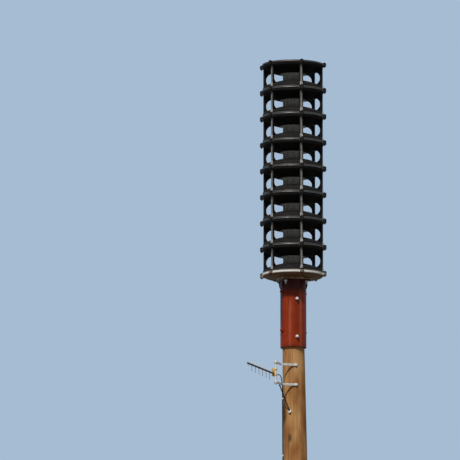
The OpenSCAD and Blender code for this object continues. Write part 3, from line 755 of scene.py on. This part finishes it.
def rib():
    """One rib along +X, from a flange plane at height 0: bar, toe, and web with an arch."""
    inner = RIB_OUTER_R - BAR_DEPTH
    # The toe and the web start this far inside the bar
    outer = inner + 4 * MM
    sunk = 1.5 * MM
    low = FLANGE_T - sunk
    high = PITCH - BOSS_T + sunk
    bar = block((BAR_DEPTH, BAR_W - 2 * MM, high - low), (inner + BAR_DEPTH / 2, 0, (low + high) / 2))
    round_edges(bar, 7.5 * MM, 4)
    start = FLANGE_T + 0.3 * MM
    toe_w = BAR_W - 3 * MM
    toe = slab([(outer, start), (RIB_OUTER_R + TOE_REACH, start),
                (RIB_OUTER_R + TOE_REACH, start + 3 * MM), (RIB_OUTER_R + 0.2 * MM, FLANGE_T + TOE_H),
                (outer, FLANGE_T + TOE_H)], toe_w)
    round_edges(toe, 2 * MM, 2, 20)
    stamp(bar, toe, [shift(0, toe_w / 2, 0) @ UPRIGHT])
    centre = inner - ARCH_R
    middle = PITCH / 2 - ARCH_DROP
    arch = []
    for i in range(49):
        a = math.pi * (i / 48 - 0.5)
        r = centre + ARCH_R * math.cos(a)
        z = middle + ARCH_R * math.sin(a)
        if horn_height(r) - sunk < z < PITCH - horn_height(r) + sunk:
            arch.append((r, z))
    steps = 10
    over_arch = [arch[-1][0] + (outer - arch[-1][0]) * i / steps for i in range(steps + 1)]
    under_arch = [outer + (arch[0][0] - outer) * i / steps for i in range(steps)]
    outline = arch + [(r, PITCH - horn_height(r) + sunk) for r in over_arch]
    outline += [(r, horn_height(r) - sunk) for r in under_arch]
    web = slab(outline, WEB_T)
    round_edges(web, 2.5 * MM, 2, 60)
    return stamp(bar, web, [shift(0, WEB_T / 2, 0) @ UPRIGHT])


def rib_sets():
    """The six ribs of each cell."""
    for k in CELLS:
        bm = stamp(bmesh.new(), rib(), [lift(LEVELS[k - 1]) @ turn for turn in RIB_TURNS])
        make_piece(f"arched_ribs_{k}", bm, RIB_BLACK, "black_casting", f"mouth_ribs_{k}")


BELL_FOOT_R = 128 * MM
WEB_UNDER_T = 12 * MM
WEB_UNDER_REACH = 22 * MM
# The bell's curve in millimetres: radius, and depth under the lowest joint
BELL = ((320, 20), (311, 29), (290, 41.8), (250, 50.5), (200, 55.1), (128, 58))


def base_casting():
    """Flange with its lugs, shallow bell on four webs, and square foot."""
    top = LEVELS[0]
    corner = 2 * MM
    profile = [(0, top), (RIM_R - 1 * MM, top), (RIM_R, top - 1 * MM),
               (RIM_R, top - BASE_RIM_T + corner), (RIM_R - corner, top - BASE_RIM_T)]
    bell = [Vector(point) * MM for point in BELL]
    profile += [(point.x, top - point.y) for point in smooth_line(bell, 8)]
    sunk = top - BELL_DEPTH - 2 * MM
    profile += [(BELL_FOOT_R - 8 * MM, sunk), (0, sunk)]
    bm = with_lugs(turned(profile, 144), BOSS_T, top - BOSS_T)
    stamp(bm, square_plate(FOOT_T, FOOT_Z))
    knee_r = SQUARE / math.sqrt(2) + WEB_UNDER_REACH
    tip_r = LIP_R - 1.5 * MM
    high = 1.5 * MM - BASE_RIM_T
    low = -BELL_DEPTH - FOOT_T + 1.2 * MM
    web = slab([(BELL_FOOT_R, high), (BELL_FOOT_R, low), (knee_r, low),
                (tip_r, 0.5 * MM - BASE_RIM_T), (tip_r, high)], WEB_UNDER_T)
    round_edges(web, 2 * MM)
    stand = shift(0, WEB_UNDER_T / 2, top) @ UPRIGHT
    stamp(bm, web, [turn_z(turn) @ stand for turn in CORNERS])
    make_piece("base_casting", bm, CREAM, "pale_casting", "base_bell")


COVER_RISE = 14 * MM
HUB_R = 60 * MM
HUB_H = 4 * MM
EYE_R = 18.8 * MM
EYE_HOLE_R = 10 * MM
EYE_T = 9 * MM


def eye_plate():
    """Lifting eye: an upright plate with a round top and a hole, ready to stand across Y."""
    foot = EYE_HOLE_R + EYE_T / 2 + 1 * MM
    sides = 48
    bm = bmesh.new()
    loops = []
    for outer in (True, False):
        ring = []
        for i in range(sides):
            a = math.tau * (i + 0.5) / sides
            r = EYE_HOLE_R
            if outer and math.sin(a) > 0:
                r = EYE_R
            elif outer:
                r = min(EYE_R / max(abs(math.cos(a)), 0.001), foot / max(-math.sin(a), 0.001))
            ring.append(bm.verts.new((r * math.cos(a), r * math.sin(a), 0)))
        loops += [bm.edges.new((ring[i - 1], ring[i])) for i in range(sides)]
    faces = bmesh.ops.bridge_loops(bm, edges=loops)["faces"]
    return round_edges(thicken(bm, faces, EYE_T), 1.5 * MM)


def cover():
    """Top cover: a thin low cone with lugs, a hub and the lifting eye."""
    z = LEVELS[-1]
    hub_z = z + COVER_RIM_T + COVER_RISE
    bm = turned([
        (0, z), (RIM_R - 0.5 * MM, z), (RIM_R, z + 0.5 * MM), (RIM_R, z + COVER_RIM_T - 1.5 * MM),
        (RIM_R - 1.5 * MM, z + COVER_RIM_T), (HUB_R + 4 * MM, hub_z), (HUB_R + 1 * MM, hub_z + 1 * MM),
        (HUB_R, hub_z + HUB_H - 1.5 * MM), (HUB_R - 1.5 * MM, hub_z + HUB_H), (0, hub_z + HUB_H),
    ], 144)
    with_lugs(bm, COVER_RIM_T, z)
    eye_z = hub_z + HUB_H + EYE_HOLE_R + EYE_T / 2
    stamp(bm, eye_plate(), [shift(0, EYE_T / 2, eye_z) @ UPRIGHT])
    make_piece("stack_cover", bm, HORN_BLACK, "black_casting", "top_cover")


def hexagon(across, height, bottom=0.0):
    """Hexagon head or nut along +Z, with the turned chamfer on its outer face."""
    chamfer = across * 0.05
    bm = bmesh.new()
    corner_r = across / 2 / math.cos(math.pi / 6)
    middle = bottom + height / 2
    bmesh.ops.create_cone(bm, cap_ends=True, segments=6, radius1=corner_r, radius2=corner_r,
                          depth=height, matrix=lift(middle))
    ends = [f for f in bm.faces if f.normal.z > 0.5]
    bmesh.ops.inset_region(bm, faces=ends, thickness=chamfer, depth=0)
    rim = [v for v in bm.verts if v.co.xy.length > corner_r * 0.99 and v.co.z > middle]
    bmesh.ops.translate(bm, verts=rim, vec=(0, 0, -chamfer))
    return bm


def disc(radius, thickness, bottom=0.0, steps=32):
    """Round washer, collar or nail head along +Z, with small chamfers."""
    edge = min(0.5 * MM, thickness / 4)
    return turned([(0, bottom), (radius - edge, bottom), (radius, bottom + edge),
                   (radius, bottom + thickness - edge), (radius - edge, bottom + thickness),
                   (0, bottom + thickness)], steps)


def threaded(radius, length, bottom=0.0, pitch=2.5 * MM):
    """Threaded rod along +Z, its ridges drawn as rings."""
    ridges = max(2, round(length / pitch))
    step = length / ridges
    profile = [(0, bottom)]
    for i in range(ridges):
        profile += [(radius * 0.88, bottom + i * step), (radius, bottom + (i + 0.5) * step)]
    profile += [(radius * 0.85, bottom + length), (0, bottom + length)]
    return turned(profile, 24)


def washer_and_head(sizes):
    """A washer along +Z and a hexagon head or nut on it.

    The sizes are in millimetres: washer radius and thickness, then head width, height and seat.
    """
    washer_r, washer_t, across, height, seat = [size * MM for size in sizes]
    return stamp(disc(washer_r, washer_t), hexagon(across, height, seat))


def flange_bolts():
    """M12 bolts through the lugs of every flange joint, heads up, with washers and nuts."""
    bolt_r = 6 * MM
    thread_pitch = 1.75 * MM
    washer_r = 12 * MM
    washer_t = 1.5 * MM
    head_w = 18 * MM
    head_h = 5 * MM
    head_sink = 0.5 * MM
    nut_h = 8 * MM
    bolt_end = nut_h + 3 * MM
    lug_middle = LUG_TIP_R - LUG_W / 2
    bm = bmesh.new()
    for z in LEVELS:
        above = COVER_RIM_T if z == LEVELS[-1] else FLANGE_T
        bolt = disc(washer_r, washer_t, above - LUG_SINK)
        stamp(bolt, disc(washer_r, washer_t, -BOSS_T - washer_t + LUG_SINK))
        stamp(bolt, hexagon(head_w, head_h, above + washer_t - head_sink))
        under = lift(-BOSS_T - washer_t + head_sink) @ FLIP
        stamp(bolt, hexagon(head_w, nut_h), [under])
        stamp(bolt, threaded(bolt_r, bolt_end, pitch=thread_pitch), [under])
        at = shift(lug_middle, 0, z)
        spots = [turn @ at @ turn_z(random.uniform(0, 60)) for turn in RIB_TURNS]
        stamp(bm, bolt, spots)
    make_piece("flange_bolts", bm, DARK_STEEL, "galvanised_steel")


BOLT_R = 10 * MM
NUT_H = 15 * MM
NUT_W = 30 * MM
MOUNTING_BOLT_END = 39 * MM
MOUNTING_OFFSET = 113 * MM


def foundation_bolts():
    """Four studs from the sleeve's plate up through the casting's foot, with nuts and washers."""
    washer_r = 19 * MM
    washer_t = 2.5 * MM
    nut_seat = 1.5 * MM
    turn = 8
    bm = hexagon(NUT_W, NUT_H - 1 * MM, LEVELS[0] - BELL_DEPTH)
    down = lift(POLE_H) @ FLIP
    stamp(bm, disc(washer_r, washer_t), [down])
    stamp(bm, hexagon(NUT_W, NUT_H), [down @ lift(nut_seat)])
    stamp(bm, threaded(BOLT_R, MOUNTING_BOLT_END), [down])
    spots = [shift(x * MOUNTING_OFFSET, y * MOUNTING_OFFSET, 0) @ turn_z(turn * x * y)
             for x in (-1, 1) for y in (-1, 1)]
    studs = stamp(bmesh.new(), bm, spots)
    make_piece("foundation_bolts", studs, ZINC, "galvanised_steel", "mounting_bolts")


FRONT_BOLT_DEPTHS = (197 * MM, 596 * MM)
SIDE_BOLT_DEPTHS = (116 * MM, 526 * MM)
SIDE_BOLT_TURN = 20
WASHER_R = 20 * MM
WASHER_T = 3 * MM
WASHER_SINK = 0.3 * MM


def through_bolts():
    """M20 bolts through the sleeve and the pole: bare from front to back, painted from side to side."""
    bare = bmesh.new()
    painted = bmesh.new()
    face = SLEEVE_R + WASHER_T
    for target, depths, turn in ((bare, FRONT_BOLT_DEPTHS, 0),
                                 (painted, SIDE_BOLT_DEPTHS, 90 + SIDE_BOLT_TURN)):
        spots = [lift(POLE_H - depth) @ turn_z(turn + side) @ UPRIGHT
                 for depth in depths for side in (0, 180)]
        stamp(painted, disc(WASHER_R, WASHER_T, SLEEVE_R - WASHER_SINK), spots)
        end = hexagon(NUT_W, NUT_H, face - WASHER_SINK)
        stamp(end, threaded(BOLT_R, NUT_H, face + NUT_H - 0.5 * MM))
        stamp(target, end, spots)
    make_piece("bare_through_bolts", bare, BRIGHT_ZINC_AND_GLINT, "galvanised_steel", "sleeve_bolts")
    make_piece("painted_through_bolts", painted, RED_OXIDE, "red_oxide_steel", "sleeve_bolts")


def solid_copy(node, width):
    """A copy of a solid with its edges rounded."""
    bm = bmesh.new()
    bm.from_mesh(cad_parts[node].data)
    bmesh.ops.remove_doubles(bm, verts=bm.verts, dist=0.01 * MM)
    bmesh.ops.dissolve_limit(bm, angle_limit=math.radians(1), verts=bm.verts, edges=bm.edges)
    return round_edges(bm, width, 2, 40)


# The bracket's flat arms, and the mast that they hold
ARM_H = 22 * MM
ARM_T = 6 * MM
ARM_BOLT_SHIFT = 14 * MM
MAST_D = 25 * MM
MAST_LOW, MAST_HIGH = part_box("antenna_mast")
MAST_END = 14 * MM
UPPER_ARM_Z = MAST_HIGH.z - MAST_END - ARM_H / 2
LOWER_ARM_Z = MAST_LOW.z + MAST_END + ARM_H / 2
MAST_AT = (MAST_LOW + MAST_HIGH) / 2
# The brace's foot on the pole: direction from the -Y side, drop below the lower arm, and size
BRACE_FOOT_ANGLE = 37
BRACE_FOOT_Z = LOWER_ARM_Z - 281 * MM
BRACE_FOOT_R = 17 * MM
BRACE_FOOT_REACH = 11 * MM
# The lag screws' washers and heads in millimetres, as washer_and_head takes them
LAG_HEAD = (15, 2.5, 19, 8, 2.2)


def bracket():
    """The two bent arms and the brace's foot in zinc, and the brace's dark rod."""
    arm_bottom = LOWER_ARM_Z - ARM_H / 2 - 0.1 * MM
    foot_top = BRACE_FOOT_Z + BRACE_FOOT_R + 2 * MM
    for name, material, dark in (("bracket_bars", ZINC, False), ("brace_rod", DARK_STEEL, True)):
        bm = solid_copy("bracket_arms", 0.8 * MM)
        other = [f for f in bm.faces if (foot_top < f.calc_center_median().z < arm_bottom) != dark]
        bmesh.ops.delete(bm, geom=other, context="FACES")
        make_piece(name, bm, material, "galvanised_steel", "bracket_arms")


def lag_screws():
    """Lag screws that hold the two arms and the brace's foot to the pole."""
    bm = bmesh.new()
    for z in (UPPER_ARM_Z, LOWER_ARM_Z):
        face = -pole_r(z - ARM_H / 2) - SEAT_GAP - ARM_T
        spot = shift(pole_x(z) - ARM_BOLT_SHIFT, face + 0.3 * MM, z)
        stamp(bm, washer_and_head(LAG_HEAD), [spot @ UPRIGHT])
    reach = pole_r(BRACE_FOOT_Z) + BRACE_FOOT_REACH
    foot = shift(pole_x(BRACE_FOOT_Z), 0, BRACE_FOOT_Z - 7 * MM)
    spot = foot @ turn_z(-BRACE_FOOT_ANGLE) @ shift(0, -reach, 0) @ UPRIGHT
    stamp(bm, hexagon(17 * MM, 8 * MM), [spot])
    make_piece("arm_lag_screws", bm, BRIGHT_ZINC_AND_GLINT, "galvanised_steel")


# The antenna: its boom, the connector behind it, and its rods, which get shorter to the front
BOOM_ANGLE = 34
BOOM_Z = SLEEVE_Z - 312 * MM
BOOM_R = 9.5 * MM
BOOM_OFFSET = MAST_D / 2 + BOOM_R + 1 * MM
BOOM_FRONT = 848 * MM
BOOM_BACK = 45 * MM
CONNECTOR_LEN = 25 * MM
CONNECTOR_R = 8 * MM
ROD_R = 3 * MM
ROD_REAR = 164 * MM
ROD_TIP = 130 * MM
ROD_START = 134 * MM
ROD_STEP = 116 * MM
RODS = 7
COLLAR_R = ROD_R + 2.5 * MM
COLLAR_H = 3 * MM
AT_MAST = shift(MAST_AT.x, MAST_AT.y, BOOM_Z) @ turn_z(-90 - BOOM_ANGLE)
AT_BOOM = AT_MAST @ shift(0, -BOOM_OFFSET, 0)
ALONG = Matrix.Rotation(math.pi / 2, 4, "Y")


def antenna():
    """Square-cut boom tube, pale rods through it in small collars, and the lead's connector."""
    length = BOOM_FRONT + BOOM_BACK
    corner = 0.6 * MM
    tube = turned([(0, 0), (BOOM_R - corner, 0), (BOOM_R, corner), (BOOM_R, length - corner),
                   (BOOM_R - corner, length), (0, length)], 32)
    boom = stamp(bmesh.new(), tube, [AT_BOOM @ shift(-BOOM_BACK, 0, 0) @ ALONG])
    make_piece("antenna_boom", boom, BRONZE, "bronze_anodised_boom", "yagi_antenna", turn=20)
    rods = bmesh.new()
    for i in range(RODS):
        half = (ROD_REAR + (ROD_TIP - ROD_REAR) * i / (RODS - 1)) / 2
        rod = turned([(0, -half), (ROD_R * 0.8, -half), (ROD_R, -half + 1 * MM), (ROD_R, half - 1 * MM),
                      (ROD_R * 0.8, half), (0, half)], 20)
        for seat in (BOOM_R - 1 * MM, -BOOM_R - 2 * MM):
            stamp(rod, disc(COLLAR_R, COLLAR_H, seat, 20))
        stamp(rods, rod, [AT_BOOM @ shift(ROD_START + i * ROD_STEP, 0, 0)])
    back = -BOOM_BACK - CONNECTOR_LEN
    nut = hexagon(CONNECTOR_R * 1.7, CONNECTOR_LEN * 0.45)
    stamp(nut, disc(CONNECTOR_R * 0.75, CONNECTOR_LEN))
    stamp(rods, nut, [AT_BOOM @ shift(back, 0, 0) @ ALONG])
    make_piece("antenna_rods", rods, ALUMINIUM, "mast_aluminium", turn=20)


# The clamp that holds the boom to the mast, with its U-bolts
CLAMP_T = 28 * MM
CLAMP_H = 80 * MM
CLAMP_RISE = 12 * MM
U_BOLT_R = 3 * MM
U_BOLT_SHARE = 0.34
U_BOLT_NUT = (7, 1.5, 10, 5, 1.3)


def clamp_nuts():
    """Washers and nuts on the four threaded ends of the clamp's U-bolts."""
    ring_r = MAST_D / 2 + U_BOLT_R + SEAT_GAP
    face = -MAST_D / 4 - CLAMP_T
    spots = [AT_MAST @ shift(x * ring_r, face, CLAMP_RISE + side * CLAMP_H * U_BOLT_SHARE) @ UPRIGHT
             for x in (-1, 1) for side in (-1, 1)]
    nuts = stamp(bmesh.new(), washer_and_head(U_BOLT_NUT), spots)
    make_piece("clamp_nuts", nuts, ZINC, "galvanised_steel")


CABLE_R = 5 * MM
# Way of the lead from the antenna to the pole, as in the solids: X, Y, and height from the boom
CABLE_LEAD = [(-228, -173, 0), (-212, -152, 4), (-200, -133, 7), (-188, -112, 9), (-176, -92, 10),
              (-165, -72, 9), (-155, -53, 6), (-145, -35, -1), (-137, -20, -13), (-131, -9, -29),
              (-127, -3, -49)]
CABLE_TOP_Z = BOOM_Z - 80 * MM
CABLE_STEPS = 40
# The lead stops this high, so that its slightly slanting end stays above the ground line
LEAD_FOOT = 0.3 * MM


def cable_x(z):
    """Where the lead's middle lies along X, beside the pole."""
    return pole_x(z) - pole_r(z) - SEAT_GAP - CABLE_R


def lead():
    """Coaxial lead from the boom's connector to the pole, then held down its side to the ground."""
    start = AT_BOOM @ Vector((-BOOM_BACK - CONNECTOR_LEN, 0, 0))
    route = [start] + [Vector((x * MM, y * MM, BOOM_Z + z * MM)) for x, y, z in CABLE_LEAD]
    for i in range(CABLE_STEPS + 1):
        z = max(LEAD_FOOT, CABLE_TOP_Z * (1 - i / CABLE_STEPS))
        route.append(Vector((cable_x(z), 0, z)))
    curve = bpy.data.curves.new("coaxial_lead", "CURVE")
    curve.dimensions = "3D"
    curve.bevel_depth = CABLE_R
    curve.bevel_resolution = 4
    curve.use_fill_caps = True
    spline = curve.splines.new("POLY")
    spline.points.add(len(route) - 1)
    for point, spot in zip(spline.points, route):
        point.co = (*spot, 1)
    curve.materials.append(JACKET)
    piece = place("coaxial_lead", curve)
    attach(piece, "root")
    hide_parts("coax_cable")


CLIP_STEP = 600 * MM
CLIP_W = 46 * MM
CLIP_T = 2 * MM
NAIL_INSET = 6 * MM
GUARD_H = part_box("cable_guard")[1].z


def clip_nails():
    """Round nail heads on the clips' ears."""
    head_r = 3.5 * MM
    head_t = 1.2 * MM
    boss_r = 1.5 * MM
    boss_t = 1 * MM
    boss_z = 1 * MM
    nail = stamp(disc(head_r, head_t, steps=16), disc(boss_r, boss_t, boss_z, 12))
    westward = Matrix.Rotation(-math.pi / 2, 4, "Y")
    spots = []
    z = GUARD_H + CLIP_STEP / 2
    while z < CABLE_TOP_Z:
        ear = pole_x(z) - pole_r(z) - SEAT_GAP - CLIP_T
        spots += [shift(ear + 0.2 * MM, y, z) @ westward
                  for y in (-CLIP_W / 2 + NAIL_INSET, CLIP_W / 2 - NAIL_INSET)]
        z += CLIP_STEP
    make_piece("clip_nails", stamp(bmesh.new(), nail, spots), ZINC, "galvanised_steel")


def camera():
    """The photograph's view: from eye height far off, through a very long lens."""
    azimuth = math.radians(-15.7)
    distance = 76
    eye_height = 1.6
    pitch = math.radians(8.892)
    yaw = math.radians(0.5003)
    data = bpy.data.cameras.new("far_camera")
    data.sensor_width = 36
    data.lens = 573.4
    data.clip_end = 4000
    eye = place("far_camera", data)
    ahead = Vector((-math.sin(azimuth), math.cos(azimuth), 0))
    right = Vector((math.cos(azimuth), math.sin(azimuth), 0))
    level = ahead * math.cos(yaw) - right * math.sin(yaw)
    look = level * math.cos(pitch) + UP * math.sin(pitch)
    eye.location = -ahead * distance + UP * eye_height
    eye.rotation_mode = "QUATERNION"
    eye.rotation_quaternion = look.to_track_quat("-Z", "Y")
    bpy.context.scene.camera = eye


# Pale blue behind the tower and far off on the floor
BACKDROP = "#a6bcd3"
TO_LIGHT = Vector((-0.367, -0.511, 0.777))
KEY_STRENGTH = 2.75
FILL_STRENGTH = 0.28


def studio():
    """A distant key lamp from the upper left, an even pale fill, and a pale backdrop."""
    key = bpy.data.lights.new("key", "SUN")
    key.energy = KEY_STRENGTH
    key.angle = math.radians(4)
    lamp = place("key", key)
    lamp.rotation_mode = "QUATERNION"
    lamp.rotation_quaternion = (-TO_LIGHT).to_track_quat("-Z", "Y")

    world = bpy.data.worlds.new("studio")
    bpy.context.scene.world = world
    world.use_nodes = True
    tree = world.node_tree
    tree.nodes.clear()
    rays = add(tree, "LightPath").outputs
    shown = add(tree, "Math", {0: rays["Is Camera Ray"], 1: rays["Is Glossy Ray"]}, operation="MAXIMUM")
    seen = add(tree, "Math", {0: shown, 1: rays["Is Transmission Ray"]}, operation="MAXIMUM")
    fill = add(tree, "Background", {"Color": "#f4f7fb", "Strength": FILL_STRENGTH})
    backdrop = add(tree, "Background", {"Color": BACKDROP, "Strength": 1.0})
    both = add(tree, "MixShader", {0: seen, 1: fill, 2: backdrop})
    add(tree, "OutputWorld", {"Surface": both})


# The floor as the camera sees it, and the darker grey from which other rays bounce up
FLOOR_SHOWN = "#b3cbe4"
FLOOR_BOUNCE = "#6b6b67"
# Distances between which the floor fades into the backdrop, and its radius, in metres
FADE_NEAR = 18.0
FADE_FAR = 45.0
FLOOR_R = 3000


def floor():
    """Pale studio floor that keeps the shadow near the tower and fades into the backdrop."""
    made = bpy.data.materials.new("pale_floor")
    made.use_nodes = True
    tree = made.node_tree
    tree.nodes.clear()
    at = add(tree, "TexCoord").outputs["Object"]
    far = add(tree, "MapRange", {
        "Value": axis_distance(tree, at), "From Min": FADE_NEAR, "From Max": FADE_FAR,
    }, interpolation_type="SMOOTHSTEP")
    camera_ray = add(tree, "LightPath").outputs["Is Camera Ray"]
    colour = add(tree, "Mix", {"Factor": camera_ray, MIX_A: FLOOR_BOUNCE, MIX_B: FLOOR_SHOWN},
                 data_type="RGBA")
    matt = add(tree, "BsdfDiffuse", {"Color": colour})
    glow = add(tree, "Emission", {"Color": BACKDROP, "Strength": 1.0})
    faded = add(tree, "Math", {0: far, 1: camera_ray}, operation="MULTIPLY")
    both = add(tree, "MixShader", {0: faded, 1: matt, 2: glow})
    add(tree, "OutputMaterial", {"Surface": both})
    bm = bmesh.new()
    bmesh.ops.create_circle(bm, cap_ends=True, segments=128, radius=FLOOR_R, matrix=lift(-1 * MM))
    mesh = bpy.data.meshes.new("floor")
    bm.to_mesh(mesh)
    bm.free()
    mesh.materials.append(made)
    ground = place("floor", mesh)


camera()
studio()
floor()
bpy.context.scene.view_settings.view_transform = "Standard"

lead()
timber_pole()
steel_sleeve()
base_casting()
horns()
throats()
rib_sets()
cover()
flange_bolts()
foundation_bolts()
through_bolts()
bracket()
lag_screws()
antenna()
clamp_nuts()
clip_nails()
# Solids shown as they are, with their edges rounded
for name, node, width, material, slot, turn in (
    ("mast_tube", "antenna_mast", 0.8, ALUMINIUM, "mast_aluminium", 20),
    ("clamp_block", "boom_clamp", 0.8, CHROMATE, "yellow_chromate_steel", 32),
    ("lead_clips", "cable_clips", 0.3, ZINC, "galvanised_steel", 32),
    ("lead_guard", "cable_guard", 0.8, GUARD_GREY, "grey_guard", 32),
):
    make_piece(name, solid_copy(node, width * MM), material, slot, node, turn=turn)
